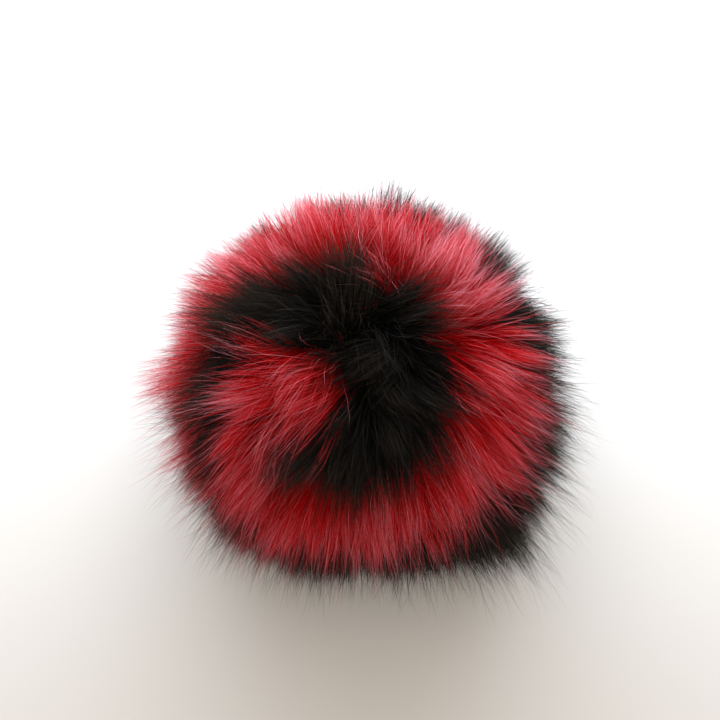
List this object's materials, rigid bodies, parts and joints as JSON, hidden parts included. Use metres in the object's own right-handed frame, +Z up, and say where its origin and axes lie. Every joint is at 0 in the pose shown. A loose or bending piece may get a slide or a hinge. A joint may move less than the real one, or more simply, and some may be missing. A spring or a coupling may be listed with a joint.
{
  "type": "fur pom pom",
  "caption": "Round long-haired fur pom pom in black with a red swirl let in over its crown, resting on a small flat base where it is gathered and sewn on.",
  "frame": {"origin": "middle of the flat base, where the pom pom is gathered and rests on the table", "axes": "+Z up through the crown; -Y is the front, towards which the swirl is turned; +X to the right"},
  "size_m": [0.144, 0.1392, 0.1227],
  "materials": {
    "black_fur": "dyed long-haired fur, black with a warm grey sheen",
    "red_fur": "dyed long-haired fur, deep red with paler tips"
  },
  "bodies": {
    "root": {"black_fur": "black_fur", "red_fur": "red_fur"}
  },
  "joints": []
}
